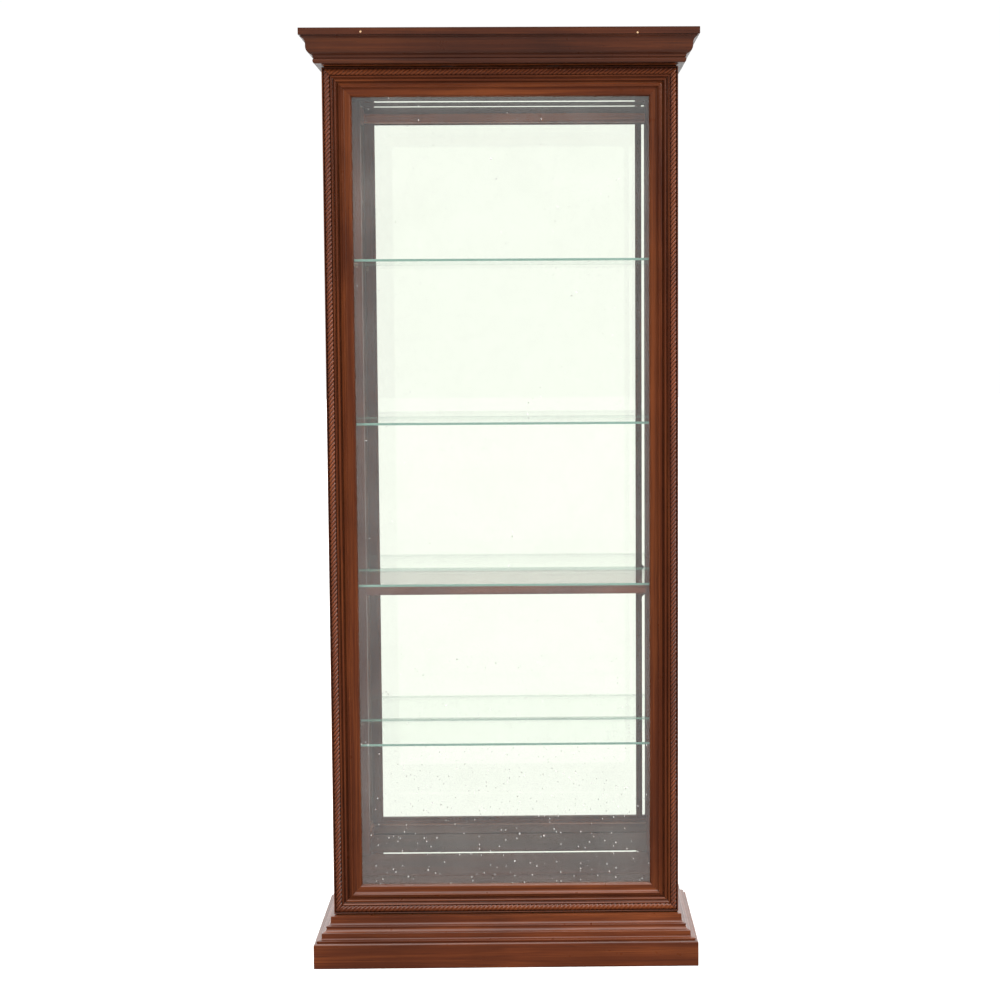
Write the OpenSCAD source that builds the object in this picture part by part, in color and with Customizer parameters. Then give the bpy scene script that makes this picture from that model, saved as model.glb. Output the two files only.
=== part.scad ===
// Tall display cabinet with a two-way sliding, rope-trimmed glass door.
// Millimetres. Origin on the floor under the middle of the cabinet,
// +X to the viewer's right, +Y towards the back, +Z up.

/* [Overall] */
// Height from the floor to the top edge of the crown
total_h = 1981; // [1960:1:2000]
// Width over the crown and the plinth
total_w = 824; // [816:1:836]
// Depth from the front of the crown to the back edge of the case
total_d = 361; // [355:1:370]

/* [Door] */
// Width of the sliding door frame
door_w = 743.5; // [738:0.5:748]
// Width of the mitred door moulding, outer edge to glass
door_moulding_w = 60.5; // [60:0.5:64]
// Thickness of the door frame
door_thick = 22; // [22:0.5:24]
// Height of the door's lower edge above the floor
door_bottom = 106.5; // [106.5:0.5:107]
// Height of the door's upper edge
door_top = 1909.5; // [1909:0.5:1910]
// Radius of the rope moulding
rope_r = 8; // [7.8:0.1:8.1]

/* [Case] */
// Thickness of the case sides
side_thick = 32; // [30:1:34]
// Width of the front stiles seen from the side
front_stile_w = 45; // [40:1:60]
// Width of the back stiles seen from the side
back_stile_w = 55; // [50:1:70]
// Width of the side frame's top and bottom rails
side_rail_h = 68; // [60:1:80]
// Height of the cabinet floor's top face
floor_z = 153; // [150:1:156]
// Height of the ceiling's underside
ceiling_z = 1873; // [1870:1:1876]

/* [Glass] */
// Thickness of the glass shelves
shelf_thick = 5; // [4:0.5:6]
// Height of the top face of the lowest shelf
shelf_low = 471.2; // [460:0.1:490]
// Spacing between the shelves
shelf_step = 347.2; // [340:0.1:348]
// Thickness of the door and side panes
pane_thick = 4; // [3:0.5:4]
// Width of the bevel round each mirror
mirror_bevel = 11.5; // [8:0.5:13]

/* [Back rail] */
// Lower edge of the rail between the two mirrors
mid_rail_bottom = 758.5; // [755:0.5:765]
// Upper edge of the rail between the two mirrors
mid_rail_top = 816; // [812:0.5:816]

/* [Hidden] */

wood_dark = [0.36, 0.17, 0.10];
wood_mid = [0.43, 0.21, 0.12];
glass_tint = [0.75, 0.88, 0.84, 0.35];

// Overhangs in front of the door, and how far back the crown's rear face is
crown_out = 61;
crown_back = 8;
plinth_out = 43;

// Depths, front to back
door_y = -total_d / 2 + crown_out;  // the door's front plane
case_y = door_y + 24;               // front face of the case
track_y = door_y + 14;              // middle of both tracks
back_y = total_d / 2;               // back edge of the case
panel_back_y = back_y - 4;          // back panel's rear face
panel_front_y = back_y - 10;        // back panel's front face
mirror_thick = 4;
mirror_y = panel_front_y - mirror_thick;
lip_y = mirror_y - 5;               // front face of the lips that hold the mirrors

// Half widths
half_w = total_w / 2;
door_half_w = door_w / 2;
case_half_w = 369;
inner_half_w = case_half_w - side_thick;
lip_x = 319.5;                      // edge of the lips that hold the mirrors

// Heights
plinth_h = 54;
base_z = 104;                       // top of the base
case_top = 1955;
crown_z = total_h - 68.5;           // underside of the crown

board_thick = 18;
thin_board = 12;
front_rail_thick = 20;              // header and sill rails

// ---------------------------------------------------------------- helpers
// Points of an arc about a centre, between two angles.
function arc(cx, cy, radius, from, to, steps) =
  [for (i = [0:steps])
    let (angle = from + (to - from) * i / steps)
    [cx + radius * cos(angle), cy + radius * sin(angle)]];

module box(low, high) translate(low) cube(high - low);
module flip() mirror([1, 0, 0]) children();
module both_sides() {
  children();
  flip() children();
}

// Extrudes a plan (x, y) between two heights.
module upright(z0, z1) translate([0, 0, z0]) linear_extrude(z1 - z0) children();

// Extrudes a (y, z) section to the right from a start point.
module along_x(start, length)
  translate(start) rotate([90, 0, 90]) linear_extrude(length) children();

// Mitred runs of a section whose columns are [distance in front of the door plane
// (outward from the same datum at the sides), height]. out is the overhang that
// reaches the full width; z0 and z1 bound the section.
module front_run(section, out, z0, z1) {
  reach = 30;                       // how far the mitre cut goes behind the door plane
  intersection() {
    along_x([-half_w, door_y, 0], 2 * half_w)
      polygon([for (p = section) [-p[0], p[1]]]);
    upright(z0 - 1, z1 + 1) polygon([
      [-half_w, door_y - out], [half_w, door_y - out],
      [half_w - out - reach, door_y + reach], [-half_w + out + reach, door_y + reach]]);
  }
}

module right_run(section, out, z0, z1)
  intersection() {
    translate([half_w - out, back_y, 0]) rotate([90, 0, 0])
      linear_extrude(back_y - door_y + out) polygon(section);
    upright(z0 - 1, z1 + 1) polygon([
      [half_w, door_y - out], [half_w, back_y], [0, back_y], [0, door_y - out + half_w]]);
  }

// ---------------------------------------------------------------- base
plinth_in = 21;                     // plinth board's inner face
base_in = 12;                       // moulding's inner face, behind the door plane
plinth_inner_x = half_w - plinth_out + plinth_in;

// [out, z] plinth board with its rounded top edge.
plinth_section = concat(
  [[plinth_in, 0], [plinth_in, plinth_h], [38.6, plinth_h]],
  arc(38.6, 49.6, 4.4, 84, 0, 5),
  [[plinth_out, 0]]);

// [out, z] base cap moulding: ledge, tall face, small cove, fillet, larger cove,
// flat face, small cove and bead.
base_section = concat(
  [[-base_in, plinth_h], [-base_in, base_z], [7.8, base_z], [8.6, base_z - 0.5],
   [8.8, base_z - 1.4]],
  arc(15.4, base_z - 12.4, 5.9, 180, 262, 8),
  [[18, base_z - 19], [18.4, base_z - 19.5], [18.4, base_z - 21.2],
   [17.6, base_z - 21.8], [17.5, base_z - 22.6]],
  arc(25.2, base_z - 23, 7.7, 180, 260, 8),
  [[26.5, base_z - 31.4], [27.1, base_z - 32], [27.5, base_z - 41.2]],
  arc(30.4, base_z - 41.6, 2.8, 180, 265, 4),
  [[35.4, base_z - 44.6], [36.8, base_z - 45.2], [37.4, base_z - 46.2],
   [37.4, base_z - 47.6], [36.4, base_z - 48.6], [36.4, plinth_h]]);

module plinth_side() right_run(plinth_section, plinth_out, 0, plinth_h);
module plinth_front() color(wood_mid) front_run(plinth_section, plinth_out, 0, plinth_h);
module plinth_left() color(wood_mid) flip() plinth_side();
module plinth_right() color(wood_mid) plinth_side();
module plinth_back() color(wood_dark)
  box([-plinth_inner_x, back_y - board_thick, 0], [plinth_inner_x, back_y, plinth_h]);

module base_side() right_run(base_section, plinth_out, plinth_h, base_z);
module base_moulding_front() color(wood_mid)
  front_run(base_section, plinth_out, plinth_h, base_z);
module base_moulding_left() color(wood_mid) flip() base_side();
module base_moulding_right() color(wood_mid) base_side();

module base_deck() color("burlywood") {
  deck_half_w = half_w - plinth_out - base_in;
  box([-deck_half_w, door_y + base_in, base_z - board_thick], [deck_half_w, back_y, base_z]);
}

block_half = 30;                    // half the side of a square corner block
foot_x = plinth_inner_x - block_half;
foot_front_y = door_y + 9;
foot_back_y = back_y - 48;
shank_r = 4;

module corner_block(y) difference() {
  box([foot_x - block_half, y - block_half, 10], [foot_x + block_half, y + block_half, plinth_h]);
  translate([foot_x, y, 0]) cylinder(r = shank_r + 0.05, h = 60, $fn = 48);
}
module corner_blocks() color("burlywood") both_sides() {
  corner_block(foot_front_y);
  corner_block(foot_back_y);
}

// Levelling foot: a round pad with a collar and a shank.
module foot(x, y) color("dimgray") translate([x, y, 0])
  rotate_extrude($fn = 64) polygon([
    [0, 0], [13, 0], [15, 1.5], [15, 4], [13, 6], [6, 7], [6, 9],
    [shank_r, 9], [shank_r, 48], [3.2, 49], [0, 49]]);
module foot_front_left() foot(-foot_x, foot_front_y);
module foot_front_right() foot(foot_x, foot_front_y);
module foot_back_left() foot(-foot_x, foot_back_y);
module foot_back_right() foot(foot_x, foot_back_y);

// ---------------------------------------------------------------- shelves and pins
pin_ys = [case_y + 18, back_y - 40];
pin_r = 3;

function shelf_z(i) = shelf_low + (i - 1) * shelf_step;

// Places children at each right-hand pin, with their Z axis along +X.
module at_pins(x) for (i = [1:4], y = pin_ys)
  translate([x, y, shelf_z(i) - shelf_thick - pin_r]) rotate([0, 90, 0]) children();
module pin_holes() at_pins(inner_half_w - 1) cylinder(r = pin_r, h = 12, $fn = 32);
module pin() rotate_extrude($fn = 32)
  polygon([[0, -10], [2.4, -10], [pin_r, -9], [pin_r, 10.4], [2.6, 11], [0, 11]]);
module shelf_pins() color("silver") both_sides() at_pins(inner_half_w) pin();

module glass_shelf(i) color(glass_tint)
  box([-inner_half_w + 2, door_y + 30, shelf_z(i) - shelf_thick],
      [inner_half_w - 2, mirror_y - 6, shelf_z(i)]);
module glass_shelf_1() glass_shelf(1);
module glass_shelf_2() glass_shelf(2);
module glass_shelf_3() glass_shelf(3);
module glass_shelf_4() glass_shelf(4);

// ---------------------------------------------------------------- back screws
stile_screw_x = 348;
stile_screw_zs = [140, 400, 660, 790, 1050, 1310, 1570, 1830, 1925];
rail_screw_xs = [-210, -70, 70, 210];
floor_screw_z = floor_z - board_thick / 2;
mid_screw_z = 789;
ceiling_screw_z = ceiling_z + thin_board / 2;
screw_len = 16;
mid_screw_len = 11;                 // shorter screws into the middle rail

// Places children on the back panel's rear face, with their Z axis along +Y.
module at_back(xs, zs) for (z = zs, x = xs)
  translate([x, panel_back_y, z]) rotate([-90, 0, 0]) children();

module screw_hole(r, depth) translate([0, 0, -depth]) cylinder(r = r, h = depth + 1, $fn = 32);
module pilot_hole(length) screw_hole(1.65, length + 1);
module clearance_hole() screw_hole(1.9, 8);

// Pan-head screw, head towards +Z.
module screw(length) rotate_extrude($fn = 32) polygon([
  [0, -length], [0.6, -length + 1.5], [1.6, -length + 3], [1.6, 0],
  [3.2, 0], [3.2, 0.9], [2.2, 1.7], [0, 1.9]]);

module cabinet_screws() color("darkgray") {
  at_back([-stile_screw_x, stile_screw_x], stile_screw_zs) screw(screw_len);
  at_back(rail_screw_xs, [floor_screw_z, ceiling_screw_z]) screw(screw_len);
  at_back(rail_screw_xs, [mid_screw_z]) screw(mid_screw_len);
}

// ---------------------------------------------------------------- case sides
// Side glass opening
opening_bottom = base_z + side_rail_h;
opening_top = 1840;
opening_front = case_y + front_stile_w;
opening_back = back_y - back_stile_w;
rabbet = 8;                         // width of the rabbet round the opening
side_pane_x = case_half_w - 18;     // outer face of the side glass

// Rebates at the back
mirror_rebate = 3;
panel_rebate = 15;
back_gap = 0.3;                     // clearance of mirrors and back panel in them

module side_rabbet()
  box([inner_half_w - 1, opening_front - rabbet, opening_bottom - rabbet],
      [side_pane_x, opening_back + rabbet, opening_top + rabbet]);

module front_stile() difference() {
  box([inner_half_w, case_y, base_z], [case_half_w, opening_front, case_top]);
  side_rabbet();
  pin_holes();
}
module front_stile_left() color(wood_mid) flip() front_stile();
module front_stile_right() color(wood_mid) front_stile();

// Back stile with the lip in front of the mirror and a rebate for the back panel.
module back_stile() difference() {
  upright(base_z, case_top) polygon([
    [inner_half_w, opening_back], [case_half_w, opening_back], [case_half_w, back_y],
    [case_half_w - panel_rebate, back_y], [case_half_w - panel_rebate, panel_front_y],
    [lip_x + mirror_rebate, panel_front_y], [lip_x + mirror_rebate, mirror_y],
    [lip_x, mirror_y], [lip_x, lip_y], [inner_half_w, lip_y]]);
  side_rabbet();
  pin_holes();
  at_back([stile_screw_x], stile_screw_zs) pilot_hole(screw_len);
}
module back_stile_left() color(wood_mid) flip() back_stile();
module back_stile_right() color(wood_mid) back_stile();

module side_rail(z0, z1) difference() {
  box([inner_half_w, opening_front, z0], [case_half_w, opening_back, z1]);
  side_rabbet();
}
module side_rail_top() side_rail(opening_top, case_top);
module side_rail_bottom() side_rail(base_z, opening_bottom);
module side_rail_top_left() color(wood_mid) flip() side_rail_top();
module side_rail_top_right() color(wood_mid) side_rail_top();
module side_rail_bottom_left() color(wood_mid) flip() side_rail_bottom();
module side_rail_bottom_right() color(wood_mid) side_rail_bottom();

module side_glass() {
  edge = rabbet - 0.5;              // overlap behind the frame
  box([side_pane_x - pane_thick, opening_front - edge, opening_bottom - edge],
      [side_pane_x, opening_back + edge, opening_top + edge]);
}
module side_glass_left() color(glass_tint) flip() side_glass();
module side_glass_right() color(glass_tint) side_glass();

module side_glass_beads() color(wood_dark) both_sides() {
  x1 = side_pane_x - pane_thick;
  x0 = x1 - 8;
  z0 = opening_bottom - rabbet;
  z1 = opening_top + rabbet;
  gap = 0.2;                        // between upright and level beads
  box([x0, opening_front - rabbet, z0], [x1, opening_front, z1]);
  box([x0, opening_back, z0], [x1, opening_back + rabbet, z1]);
  box([x0, opening_front + gap, z0], [x1, opening_back - gap, opening_bottom]);
  box([x0, opening_front + gap, opening_top], [x1, opening_back - gap, z1]);
}

// ---------------------------------------------------------------- case inside
module front_rail(z0, z1)
  box([-inner_half_w, case_y, z0], [inner_half_w, case_y + front_rail_thick, z1]);
module header_rail() color(wood_mid) front_rail(1852, case_top);
module sill_rail() color(wood_mid) front_rail(base_z, floor_z);

// Plan of the floor and ceiling, narrowed at the back between the mirror lips.
module panel_plan() polygon([
  [-inner_half_w, case_y + front_rail_thick], [inner_half_w, case_y + front_rail_thick],
  [inner_half_w, lip_y], [lip_x, lip_y], [lip_x, panel_front_y],
  [-lip_x, panel_front_y], [-lip_x, lip_y], [-inner_half_w, lip_y]]);

module floor_panel() color(wood_mid) difference() {
  upright(floor_z - board_thick, floor_z) panel_plan();
  // plate groove
  translate([-inner_half_w - 1, door_y + 120, floor_z + 4]) rotate([0, 90, 0])
    cylinder(r = 8, h = 2 * inner_half_w + 2, $fn = 64);
  at_back(rail_screw_xs, [floor_screw_z]) pilot_hole(screw_len);
}
module ceiling_panel() color(wood_mid) difference() {
  upright(ceiling_z, ceiling_z + thin_board) panel_plan();
  at_back(rail_screw_xs, [ceiling_screw_z]) pilot_hole(screw_len);
}
module top_panel() color("burlywood")
  box([-case_half_w, door_y - crown_back, case_top],
      [case_half_w, back_y, case_top + thin_board]);

module back_panel() color("peru") difference() {
  panel_half_w = case_half_w - panel_rebate - back_gap;
  box([-panel_half_w, panel_front_y, base_z + 0.5], [panel_half_w, panel_back_y, case_top - 0.5]);
  at_back([-stile_screw_x, stile_screw_x], stile_screw_zs) clearance_hole();
  at_back(rail_screw_xs, [floor_screw_z, mid_screw_z, ceiling_screw_z]) clearance_hole();
}

mirror_lap = mirror_rebate - back_gap;   // mirror's overlap behind the lips
bevel_depth = 1;

// [position across the edge, y] wedge cut off a mirror's front; out is the edge's
// outward direction, 1 or -1. It runs 1 mm past the edge and 0.01 mm past the face.
function bevel_wedge(edge, out) = [
  [edge - out * mirror_bevel, mirror_y - 0.01],
  [edge + out, mirror_y - 0.01],
  [edge + out, mirror_y + bevel_depth + bevel_depth / mirror_bevel],
  [edge - out * mirror_bevel, mirror_y]];

module mirror_plate(z0, z1) {
  plate_half_w = lip_x + mirror_lap;
  difference() {
    box([-plate_half_w, mirror_y, z0], [plate_half_w, mirror_y + mirror_thick, z1]);
    both_sides() upright(z0 - 1, z1 + 1) polygon(bevel_wedge(plate_half_w, 1));
    for (edge = [[z1, 1], [z0, -1]])
      along_x([-plate_half_w - 1, 0, 0], 2 * plate_half_w + 2)
        polygon([for (p = bevel_wedge(edge[0], edge[1])) [p[1], p[0]]]);
  }
}
module mirror_upper() color("lightsteelblue") mirror_plate(mid_rail_top - mirror_lap, ceiling_z);
module mirror_lower() color("lightsteelblue") mirror_plate(floor_z, mid_rail_bottom + mirror_lap);

module back_mid_rail() color(wood_mid) difference() {
  along_x([-lip_x, 0, 0], 2 * lip_x) polygon([
    [lip_y, mid_rail_bottom], [lip_y, mid_rail_top],
    [mirror_y, mid_rail_top], [mirror_y, mid_rail_top - mirror_rebate],
    [panel_front_y, mid_rail_top - mirror_rebate],
    [panel_front_y, mid_rail_bottom + mirror_rebate],
    [mirror_y, mid_rail_bottom + mirror_rebate], [mirror_y, mid_rail_bottom]]);
  at_back(rail_screw_xs, [mid_screw_z]) pilot_hole(mid_screw_len);
}

// ---------------------------------------------------------------- crown
crown_cut_z = 1900;                 // lower bound of the mitre cut, below the crown

// [out, z] crown moulding; back is where its rear face lies.
function crown_section(back) = concat(
  [[back, total_h], [crown_out, total_h], [crown_out, total_h - 13.5],
   [60, total_h - 14.5], [56.5, total_h - 14.5], [56.5, total_h - 17]],
  arc(62.6, total_h - 31, 14.6, 113, 178, 8),
  arc(32, total_h - 36, 16, 0, -74, 10),
  [[35.6, total_h - 52.4], [34.8, total_h - 53], [34.8, total_h - 57]],
  arc(28.4, total_h - 62.9, 6.6, 50, -57, 7),
  [[28, crown_z], [back, crown_z]]);

// The side crowns lie against the case.
module crown_side()
  right_run(crown_section(case_half_w - half_w + crown_out), crown_out, crown_cut_z, total_h);
module crown_front() color(wood_mid)
  front_run(crown_section(crown_back), crown_out, crown_cut_z, total_h);
module crown_left() color(wood_mid) flip() crown_side();
module crown_right() color(wood_mid) crown_side();

top_track_half_w = 5;
top_track_h = 13.5;

module soffit_board() color(wood_dark) difference() {
  box([-case_half_w, door_y - crown_back, crown_z], [case_half_w, case_y, crown_z + board_thick]);
  box([-case_half_w - 1, track_y - top_track_half_w, crown_z - 1],
      [case_half_w + 1, track_y + top_track_half_w, crown_z + top_track_h]);
}

// ---------------------------------------------------------------- sliding gear
track_bead_h = 3.2;                 // height of the bead the wheels run on

// Flat strip with a bead along its middle.
module bottom_track() color("silver") union() {
  box([-362, track_y - 9, base_z], [362, track_y + 9, base_z + 1]);
  box([-362, track_y - 1.2, base_z], [362, track_y + 1.2, base_z + track_bead_h]);
}

// Channel open downwards.
module top_track() color("silver") {
  outer = top_track_half_w;
  wall = 1.6;
  inner = outer - wall;
  inner_top = top_track_h - wall;
  along_x([-360, track_y, crown_z], 720) polygon([
    [-outer, 0], [-outer, top_track_h], [outer, top_track_h], [outer, 0],
    [inner, 0], [inner, inner_top], [-inner, inner_top], [-inner, 0]]);
}

wheel_r = 8;                        // rolling radius at the bottom of the groove
wheel_z = base_z + track_bead_h + wheel_r;
wheel_x = 110;
axle_r = 2;
bore_r = axle_r + 0.06;

// Half length, half width and height of the brackets and guides let into the door
bracket_half_l = 20;
bracket_half_w = 5.6;
bracket_h = 22;
guide_half_l = 18;
guide_half_w = 5.5;
guide_h = 14;

module at_wheels(y, z) for (x = [-wheel_x, wheel_x]) translate([x, y, z]) children();

// Grooved wheel.
module wheel(x) color("ivory") translate([x, track_y, wheel_z]) rotate([90, 0, 0])
  rotate_extrude($fn = 64) polygon([
    [bore_r, -3.5], [9.4, -3.5], [9.9, -3], [9.9, -1.9], [wheel_r, -1.6],
    [wheel_r, 1.6], [9.9, 1.9], [9.9, 3], [9.4, 3.5], [bore_r, 3.5]]);
module roller_left() wheel(-wheel_x);
module roller_right() wheel(wheel_x);

module roller_axles() color("gray") at_wheels(track_y + 5.4, wheel_z)
  rotate([90, 0, 0]) cylinder(r = axle_r, h = 10.8, $fn = 48);

// Hollow housing open at the bottom, drilled for the axle.
module roller_brackets() color("lightgray") at_wheels(track_y, 0) difference() {
  box([-bracket_half_l, -bracket_half_w, door_bottom + 1],
      [bracket_half_l, bracket_half_w, door_bottom + bracket_h]);
  box([-14, -3.9, door_bottom], [14, 3.9, door_bottom + 20.2]);
  translate([0, 10, wheel_z]) rotate([90, 0, 0]) cylinder(r = axle_r, h = 20, $fn = 48);
}

// Block in the door's top rail with a tongue up into the track.
module top_guides() color("ivory") at_wheels(track_y, 0) {
  box([-guide_half_l, -guide_half_w, door_top - guide_h], [guide_half_l, guide_half_w, door_top]);
  box([-14, -2.4, door_top - 1], [14, 2.4, door_top + 11]);
}

// ---------------------------------------------------------------- door
pane_depth = 14.5;                  // front face of the glass, behind the door plane
door_rabbet = 8;                    // width of the glass rabbet
channel_depth = 4.5;                // rope channel

// [distance in from the door's outer edge, depth behind the door plane]
// Lip, rope channel, quarter round, bead, two-step cove up to a ridge,
// ogee down to the flat, and the rounded inner edge.
door_section = concat(
  [[0, door_thick], [0, 1.4], [0.4, 0.5], [1.1, 0], [1.8, 0], [2.2, 0.4],
   [2.2, channel_depth], [17.8, channel_depth], [17.8, 1.6], [18.1, 1.25]],
  arc(18.2, 4.4, 3.3, -80, -8, 5),
  [[21.7, 5.2], [22.8, 5.6], [23.9, 6.6]],
  arc(26.7, 5.6, 2.7, 165, 345, 7),
  [[29.6, 7.4], [30.4, 9], [31.3, 9.2]],
  arc(30.4, 5.4, 3.6, 60, 18, 4),
  [[34.4, 6], [35.2, 5.7]],
  arc(34.2, 1.8, 4, 65, 22, 4),
  [[38.9, 2.4], [39.7, 1.9], [40.9, 1.9], [41.6, 2.5]],
  arc(47.6, 2.4, 5.8, 170, 98, 6),
  [[49, 8.3], [55.4, 7.2]],
  arc(55.2, 11.2, 4, -80, -12, 6),
  [[59.3, 12], [door_moulding_w - 0.6, 12.4], [door_moulding_w, 12.9],
   [door_moulding_w, pane_depth], [door_moulding_w - door_rabbet, pane_depth],
   [door_moulding_w - door_rabbet, door_thick]]);

// Rope moulding as a plain round, cut flat where it sits in its channel.
rope_depth = 7;                     // its centre, behind the door plane
rope_angle = acos((rope_depth - channel_depth) / rope_r);
rope_section = arc(10, rope_depth, rope_r, 270 - rope_angle, 270 + rope_angle, 18);

mitre_in = door_moulding_w + 5;     // how far in the mitre cuts reach

// Extrudes an (x, z) outline through the whole depth of the door.
module through_door()
  translate([0, door_y + 30, 0]) rotate([90, 0, 0]) linear_extrude(40) children();

// A section run up the left of the door, mitred at both ends.
module left_stile(section) intersection() {
  translate([-door_half_w, door_y, 0]) upright(door_bottom - 1, door_top + 1) polygon(section);
  through_door() polygon([
    [-door_half_w - 1, door_bottom - 1], [-door_half_w + mitre_in, door_bottom + mitre_in],
    [-door_half_w + mitre_in, door_top - mitre_in], [-door_half_w - 1, door_top + 1]]);
}

// The same section along the door's edge at height edge_z; inward is 1 for the
// bottom edge and -1 for the top.
module door_rail(section, edge_z, inward) intersection() {
  along_x([-door_half_w - 1, door_y, edge_z], door_w + 2)
    polygon([for (p = section) [p[1], inward * p[0]]]);
  through_door() polygon([
    [-door_half_w - 1, edge_z - inward],
    [door_half_w + 1, edge_z - inward],
    [door_half_w - mitre_in, edge_z + inward * mitre_in],
    [-door_half_w + mitre_in, edge_z + inward * mitre_in]]);
}
module top_rail(section) door_rail(section, door_top, -1);
module bottom_rail(section) door_rail(section, door_bottom, 1);

// Groove that clears the track's bead.
module track_groove()
  box([-door_half_w - 1, track_y - 3, door_bottom - 1],
      [door_half_w + 1, track_y + 3, door_bottom + 2.5]);

module door_stile() difference() {
  left_stile(door_section);
  track_groove();
}
module door_stile_left() color(wood_mid) door_stile();
module door_stile_right() color(wood_mid) flip() door_stile();
module door_rail_top() color(wood_mid) difference() {
  top_rail(door_section);
  at_wheels(track_y, 0)
    box([-guide_half_l, -guide_half_w, door_top - guide_h],
        [guide_half_l, guide_half_w, door_top + 1]);
}
module door_rail_bottom() color(wood_mid) difference() {
  bottom_rail(door_section);
  track_groove();
  at_wheels(track_y, 0)
    box([-bracket_half_l, -bracket_half_w, door_bottom - 1],
        [bracket_half_l, bracket_half_w, door_bottom + bracket_h]);
}
module rope_left() color(wood_dark) left_stile(rope_section);
module rope_right() color(wood_dark) flip() left_stile(rope_section);
module rope_top() color(wood_dark) top_rail(rope_section);
module rope_bottom() color(wood_dark) bottom_rail(rope_section);

// Outer edges of the glass rabbet
glass_half_w = door_half_w - door_moulding_w + door_rabbet;
glass_bottom = door_bottom + door_moulding_w - door_rabbet;
glass_top = door_top - door_moulding_w + door_rabbet;
pane_y = door_y + pane_depth;

module door_glass() color(glass_tint)
  box([-glass_half_w + 0.5, pane_y, glass_bottom + 0.5],
      [glass_half_w - 0.5, pane_y + pane_thick, glass_top - 0.5]);

module door_glass_beads() color(wood_dark) {
  y0 = pane_y + pane_thick;
  y1 = door_y + door_thick;
  bead_w = door_rabbet;
  level_half = glass_half_w - bead_w - 0.1;
  both_sides() box([glass_half_w - bead_w, y0, glass_bottom], [glass_half_w, y1, glass_top]);
  for (z = [glass_bottom, glass_top - bead_w])
    box([-level_half, y0, z], [level_half, y1, z + bead_w]);
}

plinth_front();
plinth_left();
plinth_right();
plinth_back();
base_moulding_front();
base_moulding_left();
base_moulding_right();
corner_blocks();
base_deck();
foot_front_left();
foot_front_right();
foot_back_left();
foot_back_right();
front_stile_left();
front_stile_right();
back_stile_left();
back_stile_right();
side_rail_top_left();
side_rail_top_right();
side_rail_bottom_left();
side_rail_bottom_right();
side_glass_left();
side_glass_right();
side_glass_beads();
header_rail();
sill_rail();
floor_panel();
ceiling_panel();
top_panel();
back_panel();
mirror_upper();
mirror_lower();
back_mid_rail();
glass_shelf_1();
glass_shelf_2();
glass_shelf_3();
glass_shelf_4();
shelf_pins();
crown_front();
crown_left();
crown_right();
soffit_board();
bottom_track();
top_track();
cabinet_screws();
door_stile_left();
door_stile_right();
door_rail_top();
door_rail_bottom();
rope_left();
rope_right();
rope_top();
rope_bottom();
door_glass();
door_glass_beads();
roller_brackets();
roller_axles();
roller_left();
roller_right();
top_guides();
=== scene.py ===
"""Looks for a mahogany display cabinet with a sliding glass door, glass sides and two mirrors.

The case stands upright on z = 0 with its front towards -Y and its left side towards -X.
The CAD pieces get materials and softened edges; the four rope mouldings round the door
are rebuilt as twisted ropes. A pale floor, a studio world, two softboxes and a camera follow.
"""
import bmesh
import bpy
import math
import random
from mathutils import Matrix, Vector

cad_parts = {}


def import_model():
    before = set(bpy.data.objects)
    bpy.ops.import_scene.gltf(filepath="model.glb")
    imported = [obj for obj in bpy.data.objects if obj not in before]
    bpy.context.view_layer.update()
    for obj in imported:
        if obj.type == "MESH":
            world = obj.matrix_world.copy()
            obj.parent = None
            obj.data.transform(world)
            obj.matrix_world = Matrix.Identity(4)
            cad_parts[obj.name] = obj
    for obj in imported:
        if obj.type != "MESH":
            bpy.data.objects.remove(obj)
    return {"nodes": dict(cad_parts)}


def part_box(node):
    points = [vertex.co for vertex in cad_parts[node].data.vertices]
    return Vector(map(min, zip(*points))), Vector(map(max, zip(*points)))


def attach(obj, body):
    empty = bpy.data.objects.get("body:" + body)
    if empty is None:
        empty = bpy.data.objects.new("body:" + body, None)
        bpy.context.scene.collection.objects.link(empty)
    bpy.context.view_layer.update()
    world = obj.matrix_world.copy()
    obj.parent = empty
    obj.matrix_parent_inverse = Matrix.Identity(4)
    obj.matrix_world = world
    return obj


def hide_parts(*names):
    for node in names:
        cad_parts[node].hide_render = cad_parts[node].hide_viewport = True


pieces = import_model()["nodes"]


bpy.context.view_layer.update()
scene = bpy.context.scene
random.seed(7)

# ------------------------------------------------------------ places taken from the CAD
DOOR_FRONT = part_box("door_stile_left")[0].y
CROWN_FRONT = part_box("crown_front")[0].y
CROWN_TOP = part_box("crown_front")[1].z
MIRROR_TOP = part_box("mirror_upper")[1].z
MIRROR_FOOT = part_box("mirror_lower")[0].z


def add_object(name, data):
    obj = bpy.data.objects.new(name, data)
    scene.collection.objects.link(obj)
    return obj


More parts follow.
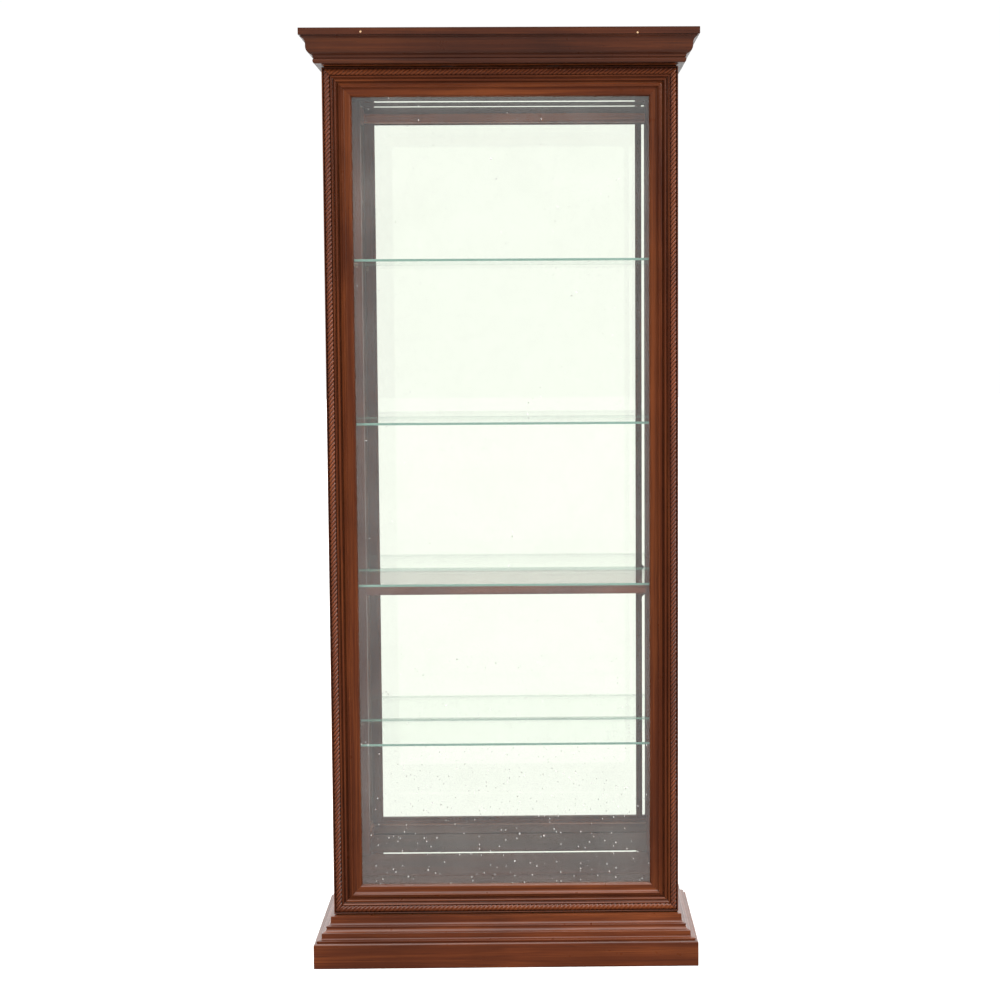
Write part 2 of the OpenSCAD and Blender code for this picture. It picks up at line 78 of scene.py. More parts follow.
# ------------------------------------------------------------ shader node helper
class Nodes:
    """The node tree of a material or world, with short calls for the common nodes.

    Any input may be a plain value or another node's output socket.
    """

    def __init__(self, owner, output="OutputMaterial"):
        self.owner = owner
        owner.use_nodes = True
        self.tree = owner.node_tree
        self.tree.nodes.clear()
        self.output = self.add(output)

    def add(self, kind, inputs=None, **settings):
        node = self.tree.nodes.new("ShaderNode" + kind)
        for key, value in settings.items():
            setattr(node, key, value)
        for key, value in (inputs or {}).items():
            socket = node.inputs[key]
            if isinstance(value, bpy.types.NodeSocket):
                self.tree.links.new(value, socket)
            elif socket.type == "RGBA":
                socket.default_value = (*value, 1)
            else:
                socket.default_value = value
        return node

    def out(self, kind, inputs=None, **settings):
        """Add a node and return its first output."""
        return self.add(kind, inputs, **settings).outputs[0]

    def finish(self, surface):
        self.tree.links.new(surface, self.output.inputs[0])
        return self.owner

    def math(self, operation, a, b=None, clamp=False):
        inputs = {0: a} if b is None else {0: a, 1: b}
        return self.out("Math", inputs, operation=operation, use_clamp=clamp)

    def plus(self, a, b, clamp=False):
        return self.math("ADD", a, b, clamp)

    def minus(self, a, b, clamp=False):
        return self.math("SUBTRACT", a, b, clamp)

    def times(self, a, b):
        return self.math("MULTIPLY", a, b)

    def vector(self, operation, a, b=None, output="Vector"):
        inputs = {0: a} if b is None else {0: a, 1: b}
        return self.add("VectorMath", inputs, operation=operation).outputs[output]

    def split(self, vector):
        return self.add("SeparateXYZ", {0: vector}).outputs

    def combine(self, x, y, z):
        return self.out("CombineXYZ", {0: x, 1: y, 2: z})

    def mix(self, factor, a, b, blend="MIX"):
        inputs = {0: factor, 6: a, 7: b}
        return self.add("Mix", inputs, data_type="RGBA", blend_type=blend).outputs[2]

    def mix_shader(self, factor, a, b):
        return self.out("MixShader", {0: factor, 1: a, 2: b})

    def noise(self, coords, scale, detail=4, roughness=0.55, distortion=0.0):
        return self.add("TexNoise", {
            "Vector": coords, "Scale": scale, "Detail": detail,
            "Roughness": roughness, "Distortion": distortion}).outputs["Fac"]

    def ramp(self, factor, *stops):
        """Colour ramp; each stop is (position, colour)."""
        node = self.add("ValToRGB", {0: factor})
        elements = node.color_ramp.elements
        while len(elements) < len(stops):
            elements.new(0.5)
        for element, (position, colour) in zip(elements, stops):
            element.position = position
            element.color = (*colour, 1)
        return node.outputs[0]

    def rescale(self, value, span, onto=(0.0, 1.0), **settings):
        """Map span linearly onto another range, clamped at its ends."""
        return self.add("MapRange", {
            "Value": value, "From Min": span[0], "From Max": span[1],
            "To Min": onto[0], "To Max": onto[1]}, **settings).outputs["Result"]

    def bump(self, height, strength, distance):
        return self.out("Bump", {"Height": height, "Strength": strength, "Distance": distance})

    def object_coords(self):
        return self.add("TexCoord").outputs["Object"]

    def stretched_coords(self, axis, scale):
        """Coordinates shifted at random per object and scaled along one axis.

        Returns them and the plain object coordinates.
        """
        plain = self.object_coords()
        shift = self.times(self.add("ObjectInfo").outputs["Random"], 13.7)
        moved = self.vector("ADD", plain, self.combine(shift, shift, shift))
        scales = [scale if letter == axis else 1 for letter in "XYZ"]
        return self.out("Mapping", {"Vector": moved, "Scale": scales}), plain


def new_material(name):
    return Nodes(bpy.data.materials.new(name))


# ------------------------------------------------------------ materials: wood and board
STAIN_DARK = (0.050, 0.0115, 0.0047)
STAIN_MID = (0.097, 0.0236, 0.0080)
STAIN_LIGHT = (0.158, 0.0420, 0.0125)
PORE_COLOUR = (0.022, 0.0070, 0.0040)
# colour of the glaze and painted shade in the hollows
GLAZE_AND_SHADE_COLOUR = (0.014, 0.0042, 0.0022)
BARE_WOOD = (0.55, 0.36, 0.20)

# small chips on the front of the crown, near its ends
CHIP_RADIUS = 0.0026
CHIPS = (
    (-0.2836, CROWN_FRONT, CROWN_TOP - 0.0085),
    (0.2838, CROWN_FRONT, CROWN_TOP - 0.0122),
)
# reach of the glaze and painted shade in the rope's grooves
ROPE_GLAZE_AND_SHADE_REACH = 0.004


def wood(name, axis, painted_light_tone=1.0, roughness=0.32, specular=0.09, upward_painted_sheen=0.55,
         glaze_and_shade=0.55, glaze_and_shade_reach=0.006, chips=()):
    """Stained mahogany under satin lacquer, grain along axis.

    painted_light_tone  multiplies the stain colour; below 1 it is painted shade, above 1
    painted light upward_painted_sheen  extra specular on faces that look up, a painted sheen
    standing in for the highlight of the light from above
    glaze_and_shade        strength of the dark glaze in the hollows, laid on by ambient occlusion, so partly painted shade
    glaze_and_shade_reach  how far the glaze and painted shade look for a neighbouring surface;
    None leaves it off
    """
    nodes = new_material(name)
    broad_coords, plain = nodes.stretched_coords(axis, 0.045)
    fine_coords, _ = nodes.stretched_coords(axis, 0.012)
    figure = nodes.noise(broad_coords, 24, detail=5, roughness=0.6, distortion=1.2)
    streaks = nodes.noise(fine_coords, 260, detail=6, roughness=0.62, distortion=0.4)
    pores = nodes.rescale(nodes.noise(fine_coords, 1100, detail=3, roughness=0.5), (0.60, 0.70))
    mottle = nodes.noise(plain, 5.0, detail=3, roughness=0.5, distortion=0.3)

    grain = nodes.plus(nodes.times(figure, 0.62), nodes.times(streaks, 0.38))
    colour = nodes.ramp(grain, (0.30, STAIN_DARK), (0.48, STAIN_MID),
                        (0.60, STAIN_LIGHT), (0.72, STAIN_MID))
    colour = nodes.mix(nodes.times(pores, 0.55), colour, PORE_COLOUR)
    uneven = nodes.ramp(mottle, (0.3, (0.80, 0.78, 0.76)), (0.7, (1.14, 1.10, 1.06)))
    colour = nodes.mix(1.0, colour, uneven, "MULTIPLY")
    # painted light and shade: a darker or lighter copy of the same wood
    if painted_light_tone != 1.0:
        colour = nodes.mix(1.0, colour, (painted_light_tone, painted_light_tone, painted_light_tone), "MULTIPLY")

    # dark glaze where surfaces are close: partly glaze, partly painted shade
    if glaze_and_shade_reach:
        occlusion = nodes.add("AmbientOcclusion", {"Distance": glaze_and_shade_reach}, samples=6)
        openness = nodes.rescale(occlusion.outputs["AO"], (0.35, 0.85))
        hollows = nodes.times(nodes.minus(1.0, openness), glaze_and_shade)
        colour = nodes.mix(hollows, colour, GLAZE_AND_SHADE_COLOUR)

    for centre in chips:
        distance = nodes.vector("DISTANCE", plain, centre, "Value")
        ragged = nodes.times(nodes.noise(plain, 900, detail=2, roughness=0.6),
                             CHIP_RADIUS * 1.1)
        inside = nodes.math("LESS_THAN", nodes.plus(distance, ragged), CHIP_RADIUS * 1.35)
        colour = nodes.mix(inside, colour, BARE_WOOD)

    lacquer = nodes.noise(plain, 46, detail=3, roughness=0.6)
    # painted sheen: the specular rises on faces that look up
    normal_z = nodes.split(nodes.add("NewGeometry").outputs["Normal"])[2]
    relief = nodes.minus(streaks, nodes.times(pores, 0.5))
    return nodes.finish(nodes.out("BsdfPrincipled", {
        "Base Color": colour,
        "Roughness": nodes.rescale(lacquer, (0.3, 0.7), (roughness - 0.05, roughness + 0.07)),
        "Specular IOR Level": nodes.rescale(normal_z, (0.25, 0.80),
                                            (specular, specular + upward_painted_sheen)),
        "Normal": nodes.bump(relief, strength=0.30 if upward_painted_sheen else 0.05,
                             distance=0.00022)}))


def raw_wood(name, axis, dark, light):
    """Unfinished wood, grain along axis."""
    nodes = new_material(name)
    coords, _ = nodes.stretched_coords(axis, 0.05)
    grain = nodes.noise(coords, 60, detail=5, roughness=0.6, distortion=0.8)
    return nodes.finish(nodes.out("BsdfPrincipled", {
        "Base Color": nodes.ramp(grain, (0.35, dark), (0.62, light)),
        "Roughness": 0.7,
        "Normal": nodes.bump(grain, strength=0.4, distance=0.0003)}))


def hardboard():
    """Brown board: fine fibres over a slow change of shade."""
    nodes = new_material("hardboard")
    coords = nodes.object_coords()
    fibres = nodes.noise(coords, 900, detail=4, roughness=0.7)
    shade = nodes.noise(coords, 9, detail=3, roughness=0.5)
    colour = nodes.mix(
        0.5,
        nodes.ramp(fibres, (0.35, (0.10, 0.052, 0.026)), (0.65, (0.23, 0.125, 0.066))),
        nodes.ramp(shade, (0.3, (0.13, 0.070, 0.036)), (0.7, (0.20, 0.112, 0.060))))
    return nodes.finish(nodes.out("BsdfPrincipled", {
        "Base Color": colour,
        "Roughness": 0.62,
        "Normal": nodes.bump(fibres, strength=0.35, distance=0.0003)}))


# ------------------------------------------------------------ materials: glass and mirror
GLASS_REFLECTANCE = 0.043       # seen square on
CLEAR_TINT = (0.985, 0.992, 0.986)
CLEAR_EDGE = (0.10, 0.26, 0.20)
DUST_COLOUR = (0.75, 0.74, 0.70)
DUST_HEIGHTS = (0.16, 0.62)     # z over which the specks thin out, going up
SPARSE = 0.985                  # share of cells left clean high up
# dots of dust: cells per metre, largest dot as a part of a cell, share left clean low down
DUST_DOTS = ((95, 0.16, 0.74), (210, 0.26, 0.80))


def schlick(nodes, geometry):
    """Schlick's reflectance, the same from both sides of a thin sheet."""
    cosine = nodes.math("ABSOLUTE", nodes.vector(
        "DOT_PRODUCT", geometry["Normal"], geometry["Incoming"], "Value"))
    grazing = nodes.math("POWER", nodes.minus(1.0, cosine, clamp=True), 5.0)
    return nodes.plus(nodes.times(grazing, 1 - GLASS_REFLECTANCE), GLASS_REFLECTANCE)


def dust_cover(nodes, geometry, film_strength):
    """How much of the glass is hidden by a thin film, fine specks and dots."""
    coords = nodes.object_coords()
    film = nodes.times(
        nodes.rescale(nodes.noise(coords, 7, detail=5, roughness=0.65), (0.35, 0.75)),
        film_strength)
    specks = nodes.times(
        nodes.rescale(nodes.noise(coords, 420, detail=2, roughness=0.5), (0.735, 0.76)), 0.35)
    flat_coords = nodes.vector("MULTIPLY", coords, (1, 0, 1))
    low_down = nodes.rescale(nodes.split(geometry["Position"])[2], DUST_HEIGHTS, (1.0, 0.0))
    for scale, radius, clean_share in DUST_DOTS:
        cells = nodes.add("TexVoronoi", {"Vector": flat_coords, "Scale": scale}).outputs
        pick = nodes.add("SeparateColor", {0: cells["Color"]}).outputs
        threshold = nodes.minus(SPARSE, nodes.times(low_down, SPARSE - clean_share))
        chosen = nodes.math("GREATER_THAN", pick[0], threshold)
        dot = nodes.math("LESS_THAN", cells["Distance"], nodes.times(pick[1], radius))
        specks = nodes.plus(specks, nodes.times(nodes.times(chosen, dot), 0.5))
    return nodes.plus(film, specks, clamp=True)


def pane(name, edge_axis, tint=CLEAR_TINT, edge=CLEAR_EDGE, dust=0.0, glow=0.12):
    """Flat glass that passes light straight through, with reflecting faces and coloured edges.

    edge_axis is the axis (0, 1 or 2) across the thickness; glow is the edges' emission, painted
    light, as the edges are no lamp.
    """
    nodes = new_material(name)
    geometry = nodes.add("NewGeometry").outputs
    ray = nodes.add("LightPath").outputs

    def unless_shadow(value):
        return nodes.times(value, nodes.minus(1.0, ray["Is Shadow Ray"]))

    face = nodes.mix_shader(
        unless_shadow(schlick(nodes, geometry)),
        nodes.out("BsdfTransparent", {"Color": tint}),
        nodes.out("BsdfGlossy", {"Roughness": 0.0, "Color": (1, 1, 1)}))
    if dust:
        face = nodes.mix_shader(
            unless_shadow(dust_cover(nodes, geometry, dust)),
            face,
            nodes.out("BsdfDiffuse", {"Color": DUST_COLOUR}))

    # the edges glow a little with painted light
    ground_edge = nodes.out("BsdfPrincipled", {
        "Base Color": edge, "Roughness": 0.16,
        "Emission Color": edge, "Emission Strength": glow})
    # in reflections the edge is drawn 72% see-through, a painted faint reflection of it
    rim = nodes.mix_shader(nodes.times(ray["Is Glossy Ray"], 0.72), ground_edge,
                           nodes.out("BsdfTransparent", {"Color": (0.93, 0.97, 0.95)}))
    across = nodes.math("ABSOLUTE", nodes.split(geometry["True Normal"])[edge_axis])
    return nodes.finish(nodes.mix_shader(nodes.math("GREATER_THAN", across, 0.9), rim, face))


def mirror():
    """Back-silvered glass: the bevels turn the view by part of their own slope, the right
    bevels inwards and the others outwards, an uneven turn that is painted reflection; thin
    bands at the top and foot are painted highlight lines.
    """
    nodes = new_material("mirror_glass")
    geometry = nodes.add("NewGeometry").outputs
    coords = nodes.object_coords()
    x, y, z = nodes.split(geometry["True Normal"])
    height = nodes.split(geometry["Position"])[2]
    tilt = 0.46         # part of the bevel's own slope that is kept

    def band(centre, half_width):
        offset = nodes.math("ABSOLUTE", nodes.minus(height, centre))
        return nodes.math("LESS_THAN", offset, half_width)

    # painted reflection: the right bevel alone throws the view inwards, as its sideways tilt is
    # reversed
    turned_x = nodes.minus(nodes.times(x, tilt),
                           nodes.times(nodes.math("MAXIMUM", x, 0.0), 2 * tilt))
    turned_y = nodes.minus(nodes.times(y, tilt), 1 - tilt)
    # painted highlights: thin bands at fixed heights near the top and foot tilt the shading
    # normal so lines there catch the light like ground arrises
    top_painted_highlight = nodes.plus(nodes.times(band(MIRROR_TOP - 0.0012, 0.0012), 1.5),
                           band(MIRROR_TOP - 0.0122, 0.0011))
    foot_painted_highlight = band(MIRROR_FOOT + 0.0022, 0.0015)
    turned_z = nodes.plus(
        nodes.times(z, tilt),
        nodes.minus(nodes.times(foot_painted_highlight, 0.26), nodes.times(top_painted_highlight, 0.12)))
    normal = nodes.vector("NORMALIZE", nodes.combine(turned_x, turned_y, turned_z))

    specks = nodes.rescale(nodes.noise(coords, 300, detail=2, roughness=0.5), (0.74, 0.77))
    haze = nodes.rescale(nodes.noise(coords, 3.2, detail=4, roughness=0.6), (0.3, 0.8))
    tint = nodes.mix(haze, (0.835, 0.860, 0.780), (0.825, 0.850, 0.765))
    silver = nodes.out("BsdfGlossy", {
        "Roughness": 0.0, "Normal": normal,
        "Color": nodes.mix(nodes.times(specks, 0.4), tint, (0.45, 0.43, 0.38))})
    backing = nodes.out("BsdfPrincipled", {"Base Color": (0.20, 0.22, 0.23), "Roughness": 0.6})
    faces_front = nodes.math("LESS_THAN", nodes.split(geometry["True Normal"])[1], -0.3)
    return nodes.finish(nodes.mix_shader(faces_front, backing, silver))


# ------------------------------------------------------------ materials: metal and plastic
def speckled(nodes, coords, colour, roughness, scale, shade, polish, relief, metallic=0.0):
    """A fine noise that varies colour, roughness and relief together.

    shade darkens the colour's low end; polish is how far the roughness drops there.
    """
    noise = nodes.noise(coords, scale, detail=3, roughness=0.6)
    darker = [c * shade for c in colour]
    return nodes.finish(nodes.out("BsdfPrincipled", {
        "Base Color": nodes.mix(nodes.rescale(noise, (0.3, 0.7)), darker, colour),
        "Metallic": metallic,
        "Roughness": nodes.rescale(noise, (0.3, 0.7), (roughness - polish, roughness + 0.08)),
        "Normal": nodes.bump(noise, strength=relief, distance=0.0001)}))


def metal(name, colour, roughness, brushed_axis=None):
    nodes = new_material(name)
    coords, _ = nodes.stretched_coords(brushed_axis, 0.02)
    return speckled(nodes, coords, colour, roughness, scale=900, shade=0.88,
                    polish=0.06, relief=0.15, metallic=1.0)


def plastic(name, colour, roughness):
    nodes = new_material(name)
    return speckled(nodes, nodes.object_coords(), colour, roughness, scale=600, shade=0.9,
                    polish=0.05, relief=0.2)


# ------------------------------------------------------------ finish of the CAD pieces
def add_smoothing(obj, degrees):
    """Smooth shading with edges sharper than the given angle kept crisp."""
    name = "smooth_%d" % degrees
    group = bpy.data.node_groups.get(name)
    if group is None:
        group = bpy.data.node_groups.new(name, "GeometryNodeTree")
        for in_out in ("INPUT", "OUTPUT"):
            group.interface.new_socket("Geometry", in_out=in_out,
                                       socket_type="NodeSocketGeometry")
        new, link = group.nodes.new, group.links.new
        start = new("NodeGroupInput")
        end = new("NodeGroupOutput")
        smooth = new("GeometryNodeSetShadeSmooth")
        smooth.domain = "FACE"
        smooth.inputs["Shade Smooth"].default_value = True
        crisp = new("GeometryNodeSetShadeSmooth")
        crisp.domain = "EDGE"
        crisp.inputs["Shade Smooth"].default_value = False
        edge_angle = new("GeometryNodeInputMeshEdgeAngle")
        sharper = new("FunctionNodeCompare")
        sharper.data_type = "FLOAT"
        sharper.operation = "GREATER_THAN"
        sharper.inputs[1].default_value = math.radians(degrees)
        link(edge_angle.outputs["Unsigned Angle"], sharper.inputs[0])
        link(start.outputs[0], smooth.inputs["Geometry"])
        link(smooth.outputs[0], crisp.inputs["Geometry"])
        link(sharper.outputs[0], crisp.inputs["Selection"])
        link(crisp.outputs[0], end.inputs[0])
    obj.modifiers.new("smooth", "NODES").node_group = group


def finish_mesh(obj, bevel=0, segments=2, angle=32, even=True):
    """Weld, soften the edges by bevel metres and smooth below angle degrees.

    even keeps the broad faces of a bevelled piece flat.
    """
    attributes = obj.data.attributes
    if "custom_normal" in attributes:
        attributes.remove(attributes["custom_normal"])
    obj.modifiers.new("weld", "WELD").merge_threshold = 0.00001
    if bevel:
        edge = obj.modifiers.new("edge", "BEVEL")
        edge.width = bevel
        edge.segments = segments
        edge.limit_method = "ANGLE"
        edge.angle_limit = math.radians(35)
        edge.use_clamp_overlap = True
        edge.harden_normals = False
    add_smoothing(obj, angle)
    if bevel and even:
        flats = obj.modifiers.new("flats", "WEIGHTED_NORMAL")
        flats.mode = "FACE_AREA"
        flats.weight = 60
        flats.keep_sharp = True


SHEET = dict(bevel=0)
PANEL = dict(bevel=0, angle=30)
ROUND = dict(bevel=0, angle=38)
BOARD = dict(bevel=0.0009)
MOULDED = dict(bevel=0.0004, angle=40)
PLINTH = dict(bevel=0.0012, segments=3, angle=40)
SHELF = dict(bevel=0.0004, segments=1, angle=10, even=False)
REPLACED = None     # rebuilt below

# each row: a material, then (finish, pieces) for the pieces that wear it
LOOKS = (
    # a stronger painted sheen on the upward faces of these pieces
    (wood("mahogany_x", "X", upward_painted_sheen=0.85),
     (PLINTH, "plinth_front plinth_back"),
     (BOARD, "sill_rail"),
     (PANEL, "back_mid_rail"),
     (MOULDED, "door_rail_top door_rail_bottom")),
    # darker copy of the wood as painted shade on the crown; the chips are real wear
    (wood("mahogany_crown", "X", painted_light_tone=0.52, specular=0.17, chips=CHIPS),
     (MOULDED, "crown_front")),
    # little painted shade in the hollows and a painted sheen on the upward ledges of the base
    (wood("mahogany_base", "X", upward_painted_sheen=0.75, glaze_and_shade=0.15),
     (MOULDED, "base_moulding_front")),
    # darker copy of the wood as painted shade on the crown's returns
    (wood("mahogany_crown_returns", "Y", painted_light_tone=0.52, specular=0.17),
     (MOULDED, "crown_left crown_right")),
    # lighter copy of the wood as painted light on the soffit and header rail, without glaze or
    # painted shade
    (wood("mahogany_soffit", "X", painted_light_tone=2.4, glaze_and_shade=0.0),
     (BOARD, "soffit_board header_rail")),
    (wood("mahogany_y", "Y"),
     (PLINTH, "plinth_left plinth_right"),
     (BOARD, "side_rail_top_left side_rail_top_right "
             "side_rail_bottom_left side_rail_bottom_right")),
    # raised specular and lower roughness give a painted sheen on the base's returns
    (wood("mahogany_base_returns", "Y", roughness=0.20, specular=0.45),
     (MOULDED, "base_moulding_left base_moulding_right")),
    # darker copy of the wood as painted shade on the stiles, beads and door stiles
    (wood("mahogany_z", "Z", painted_light_tone=0.80, specular=0.08),
     (BOARD, "front_stile_left front_stile_right side_glass_beads door_glass_beads"),
     (PANEL, "back_stile_left back_stile_right"),
     (MOULDED, "door_stile_left door_stile_right")),
    # much darker copy of the wood as painted shade on the floor inside the case
    (wood("mahogany_inside", "X", painted_light_tone=0.34, roughness=0.5, specular=0.04,
          upward_painted_sheen=0.0, glaze_and_shade_reach=None),
     (PANEL, "floor_panel")),
    # darkest copy of the wood as painted shade on the ceiling inside the case
    (wood("mahogany_ceiling", "X", painted_light_tone=0.24, roughness=0.5, specular=0.02,
          upward_painted_sheen=0.0, glaze_and_shade_reach=None),
     (PANEL, "ceiling_panel")),
    # lighter copies of the wood as painted light on the ropes, the upright ones lighter still,
    # with strong glaze and painted shade in their grooves
    (wood("rope_wood_x", "X", painted_light_tone=1.15, roughness=0.30, glaze_and_shade=0.85,
          glaze_and_shade_reach=ROPE_GLAZE_AND_SHADE_REACH),
     (REPLACED, "rope_top rope_bottom")),
    (wood("rope_wood_z", "Z", painted_light_tone=1.30, roughness=0.30, specular=0.22, glaze_and_shade=0.9,
          glaze_and_shade_reach=ROPE_GLAZE_AND_SHADE_REACH),
     (REPLACED, "rope_left rope_right")),
    (raw_wood("plywood", "X", dark=(0.34, 0.21, 0.11), light=(0.50, 0.34, 0.19)),
     (BOARD, "base_deck top_panel")),
    (raw_wood("softwood", "Y", dark=(0.42, 0.27, 0.14), light=(0.58, 0.40, 0.22)),
     (BOARD, "corner_blocks")),
    (hardboard(), (PANEL, "back_panel")),
    (pane("door_glass_mat", edge_axis=1, dust=0.030), (SHEET, "door_glass")),
    (pane("side_glass_mat", edge_axis=0), (SHEET, "side_glass_left side_glass_right")),
    (pane("shelf_glass_mat", edge_axis=2, tint=(0.965, 0.985, 0.972),
          edge=(0.120, 0.235, 0.185), glow=0.0),
     (SHELF, "glass_shelf_1 glass_shelf_2 glass_shelf_3 glass_shelf_4")),
    (mirror(), (SHEET, "mirror_upper mirror_lower")),
    (metal("bronze_pins", (0.20, 0.12, 0.075), roughness=0.38), (ROUND, "shelf_pins")),
    (metal("bronze_anodised", (0.115, 0.062, 0.038), roughness=0.42, brushed_axis="X"),
     (BOARD, "bottom_track top_track")),
    (metal("zinc_steel", (0.64, 0.63, 0.61), roughness=0.30),
     (ROUND, "cabinet_screws roller_axles")),
    (metal("black_zinc", (0.060, 0.052, 0.048), roughness=0.42), (BOARD, "roller_brackets")),
    (plastic("nylon", (0.78, 0.75, 0.66), roughness=0.45), (ROUND, "roller_left roller_right")),
    (plastic("brown_plastic", (0.060, 0.034, 0.022), roughness=0.5), (BOARD, "top_guides")),
    (plastic("black_plastic", (0.022, 0.021, 0.020), roughness=0.5),
     (ROUND, "foot_front_left foot_front_right foot_back_left foot_back_right")),
)
look_of = {name: (material, finish)
           for material, *groups in LOOKS
           for finish, names in groups
           for name in names.split()}

for name, piece in pieces.items():
    material, finish = look_of[name]
    piece.data.materials.clear()
    piece.data.materials.append(material)
    if finish is not REPLACED:
        finish_mesh(piece, **finish)


# ------------------------------------------------------------ rope mouldings
ROPE_PITCH = 0.0096         # from one strand to the next
STEPS_PER_PITCH = 12
ARC_STEPS = 17              # across the rounded face
STRAND_LEAN = 0.95          # how far a strand slants across the face, in radii
STRAND_CURL = 0.35          # extra slant towards the sides

# side of the door, vertical, way to the door's outer edge along X or Z, groove depth
ROPES = (
    ("left", True, -1, 0.0036),
    ("right", True, 1, 0.0036),
    ("top", False, 1, 0.0030),
    ("bottom", False, -1, 0.0020),
)


def rope(side, vertical, outward, groove):
    """A twisted rope, round in front and flat behind, mitred at both ends."""
    source = "rope_" + side
    low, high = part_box(source)
    along, across = ("z", "x") if vertical else ("x", "z")
    start, end = getattr(low, along), getattr(high, along)
    side_low, side_high = getattr(low, across), getattr(high, across)
    half_chord, rise = (side_high - side_low) / 2, high.y - low.y
    radius = (half_chord * half_chord + rise * rise) / (2 * rise)
    centre, centre_y = (side_low + side_high) / 2, low.y + radius
    half_angle = math.asin(min(1.0, half_chord / radius))
    steps = max(8, int((end - start) / ROPE_PITCH * STEPS_PER_PITCH))

    verts = []
    for i in range(steps + 1):
        for j in range(ARC_STEPS + 1):
            angle = -half_angle + 2 * half_angle * j / ARC_STEPS
            sine = math.sin(angle)
            inset = radius - sine * radius * outward        # shortens the inner side: the mitre
            place = start + inset + (end - start - 2 * inset) * i / steps
            turns = (place - STRAND_LEAN * radius * sine
                     - STRAND_CURL * radius * (angle - sine)) / ROPE_PITCH
            phase = turns - math.floor(turns)
            crest = math.sqrt(max(0.0, 1 - (2 * phase - 1) ** 2))
            fade = min(1.0, math.cos(angle) * 2.2 + 0.25)   # shallower at the sides
            reach = radius - groove * (1 - crest) * fade
            offset = centre + reach * sine
            y = min(centre_y - reach * math.cos(angle), high.y + 0.0001)
            verts.append((offset, y, place) if vertical else (place, y, offset))

    row = ARC_STEPS + 1
    faces = []
    for i in range(steps):
        here, beyond = i * row, (i + 1) * row
        for j in range(ARC_STEPS):
            faces.append((here + j, here + j + 1, beyond + j + 1, beyond + j))
        faces.append((here + ARC_STEPS, here, beyond, beyond + ARC_STEPS))      # flat back
    faces.append(tuple(reversed(range(row))))
    faces.append(tuple(steps * row + j for j in range(row)))

    mesh = bpy.data.meshes.new("twisted_" + source)
    mesh.from_pydata(verts, [], faces)
    mesh.validate()
    work = bmesh.new()
    work.from_mesh(mesh)
    bmesh.ops.recalc_face_normals(work, faces=work.faces)
    work.to_mesh(mesh)
    work.free()
    mesh.materials.append(look_of[source][0])
    obj = add_object("twisted_" + source, mesh)
    add_smoothing(obj, 60)
    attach(obj, "sliding_door")
    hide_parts(source)


for row in ROPES:
    rope(*row)


# ------------------------------------------------------------ stage
FLOOR_HALF = 30.0
FLOOR_DROP = 0.0002     # keeps the floor just clear of the feet


def floor_material():
    """Pale floor whose brightness is set apart for each kind of ray."""
    nodes = new_material("pale_floor")
    ray = nodes.add("LightPath").outputs
    matt = nodes.mix_shader(                    # darker where it bounces light
        ray["Is Diffuse Ray"],
        nodes.out("BsdfDiffuse", {"Color": (0.86, 0.86, 0.86)}),
        nodes.out("BsdfDiffuse", {"Color": (0.40, 0.40, 0.40)}))
    lift = nodes.out("Emission", {"Strength": nodes.times(ray["Is Camera Ray"], 0.22)})
    reflected = nodes.out("Emission", {"Strength": 1.27})    # as seen in glass and mirrors
    seen = nodes.out("AddShader", {0: matt, 1: lift})
    return nodes.finish(nodes.mix_shader(ray["Is Glossy Ray"], seen, reflected))


def add_floor():
    mesh = bpy.data.meshes.new("floor")
    corners = [(x * FLOOR_HALF, y * FLOOR_HALF, 0)
               for x, y in ((-1, -1), (1, -1), (1, 1), (-1, 1))]
    mesh.from_pydata(corners, [], [(0, 1, 2, 3)])
    floor = add_object("floor", mesh)
    floor.location.z = -FLOOR_DROP
    mesh.materials.append(floor_material())


add_floor()

# soft patches of light: direction, inner and outer half-angle in degrees, brightness
LIGHT_PATCHES = (
    ((0, 1, 0.1), 62, 86, 1.25),            # lit background behind the case
    ((-0.25, -0.35, 1), 30, 52, 2.4),       # overhead diffuser
    ((1, -0.15, 0.1), 30, 60, 0.70),        # white card on the right
)
WALL_BRIGHTNESS = 1.08
ROOM_BRIGHTNESS = 0.13
REFLECTED_MINIMUM = 0.62    # in glass and mirrors no part of the room turns black
BACKDROP_BRIGHTNESS = 1.02  # as the camera sees it


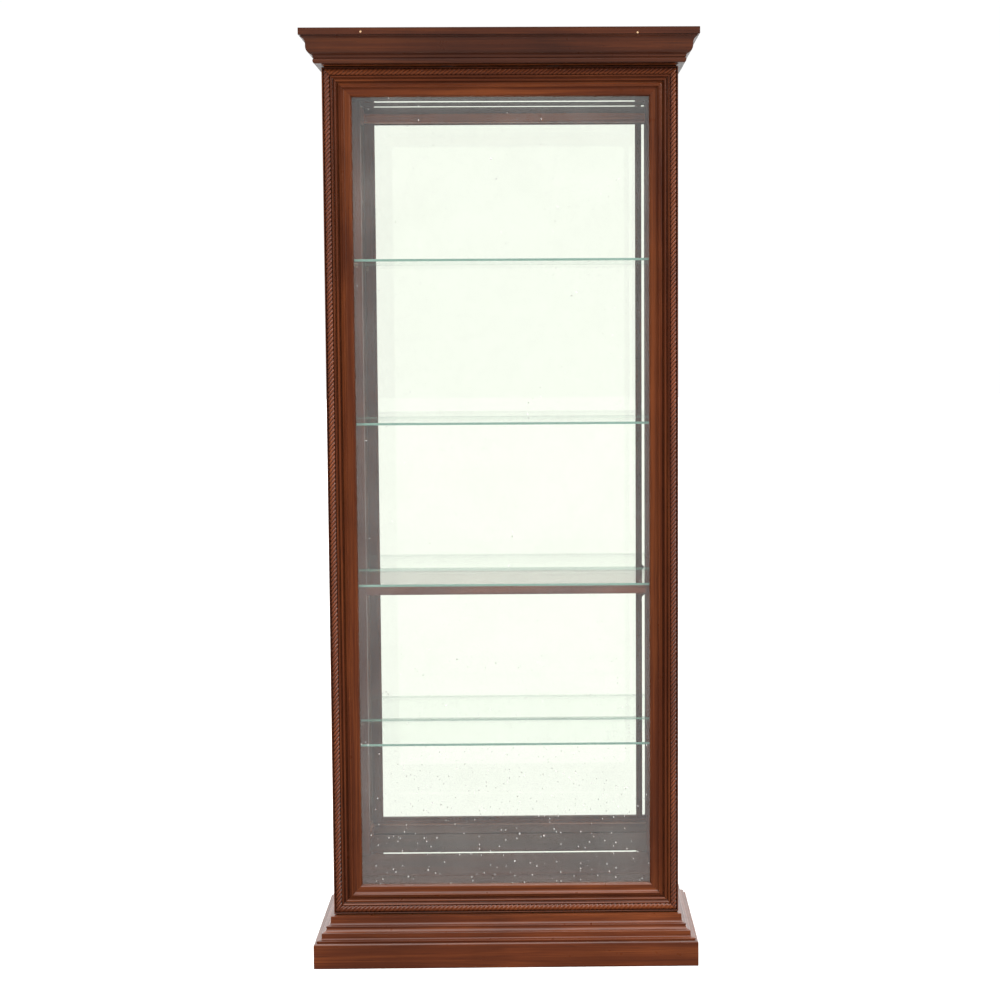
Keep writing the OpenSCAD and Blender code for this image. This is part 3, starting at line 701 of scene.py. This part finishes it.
def add_world():
    scene.world = bpy.data.worlds.new("studio")
    nodes = Nodes(scene.world, "OutputWorld")
    direction = nodes.add("TexCoord").outputs["Generated"]
    x, y, z = nodes.split(direction)

    # white wall behind the camera, cut off at the sides, below and above
    sideways = nodes.math("DIVIDE", x, nodes.math("MAXIMUM", nodes.times(y, -1.0), 0.05))
    width = nodes.times(nodes.rescale(sideways, (-0.27, -0.22)),
                        nodes.rescale(sideways, (0.36, 0.46), (1.0, 0.0)))
    height = nodes.times(nodes.rescale(z, (-0.30, -0.26)),
                         nodes.rescale(z, (0.25, 0.31), (1.0, 0.0)))
    wall = nodes.times(width, nodes.times(height, nodes.math("LESS_THAN", y, 0.0)))

    light = nodes.times(wall, WALL_BRIGHTNESS)
    for axis, inner, outer, brightness in LIGHT_PATCHES:
        cosine = nodes.vector("DOT_PRODUCT", direction, Vector(axis).normalized(), "Value")
        span = [math.cos(math.radians(degrees)) for degrees in (outer, inner)]
        patch = nodes.rescale(cosine, span, interpolation_type="SMOOTHSTEP")
        light = nodes.plus(light, nodes.times(patch, brightness))
    light = nodes.plus(light, ROOM_BRIGHTNESS)

    ray = nodes.add("LightPath").outputs
    light = nodes.math("MAXIMUM", light, nodes.times(ray["Is Glossy Ray"], REFLECTED_MINIMUM))
    to_camera = ray["Is Camera Ray"]
    strength = nodes.plus(nodes.times(light, nodes.minus(1.0, to_camera)),
                          nodes.times(to_camera, BACKDROP_BRIGHTNESS))
    nodes.finish(nodes.out("Background", {"Color": (1, 1, 1), "Strength": strength}))


add_world()


def softbox(name, location, power, size=1.2, aim=(0, 0, 1.0)):
    """A square area light turned towards the aim point."""
    light = bpy.data.lights.new(name, "AREA")
    light.energy = power
    light.shape = "RECTANGLE"
    light.size = size
    light.size_y = size
    obj = add_object(name, light)
    obj.location = location
    toward = Vector(aim) - Vector(location)
    obj.rotation_euler = toward.to_track_quat("-Z", "Y").to_euler()


softbox("softbox_left", location=(-2.3, -2.6, 2.9), power=52)
softbox("softbox_right", location=(2.5, -2.4, 2.6), power=92)

# ------------------------------------------------------------ camera
CAMERA_PLACE = (0.0715823, DOOR_FRONT - 3.8540556, 1.3740109)
# radians: yaw to the right of +Y, pitch above level, roll about the line of sight
YAW, PITCH, ROLL = 0.0111, -0.0793, -0.0053

lens = bpy.data.cameras.new("camera")
lens.sensor_width = 36.0
lens.lens = 65.6432604
lens.shift_x = -0.0569626
lens.shift_y = -0.0311018
lens.clip_start = 0.05
lens.clip_end = 100
camera = add_object("camera", lens)
camera.matrix_world = (Matrix.Translation(CAMERA_PLACE)
                       @ Matrix.Rotation(-YAW, 4, "Z")
                       @ Matrix.Rotation(math.pi / 2 + PITCH, 4, "X")
                       @ Matrix.Rotation(ROLL, 4, "Z"))
scene.camera = camera

# ------------------------------------------------------------ render settings
view = scene.view_settings
view.view_transform = "Standard"
view.look = "None"
view.exposure = 0
view.gamma = 1

cycles = scene.cycles
cycles.use_denoising = True
cycles.max_bounces = 14
cycles.diffuse_bounces = 3
cycles.glossy_bounces = 8
cycles.transmission_bounces = 4
cycles.transparent_max_bounces = 40
cycles.sample_clamp_indirect = 6
cycles.blur_glossy = 0.3
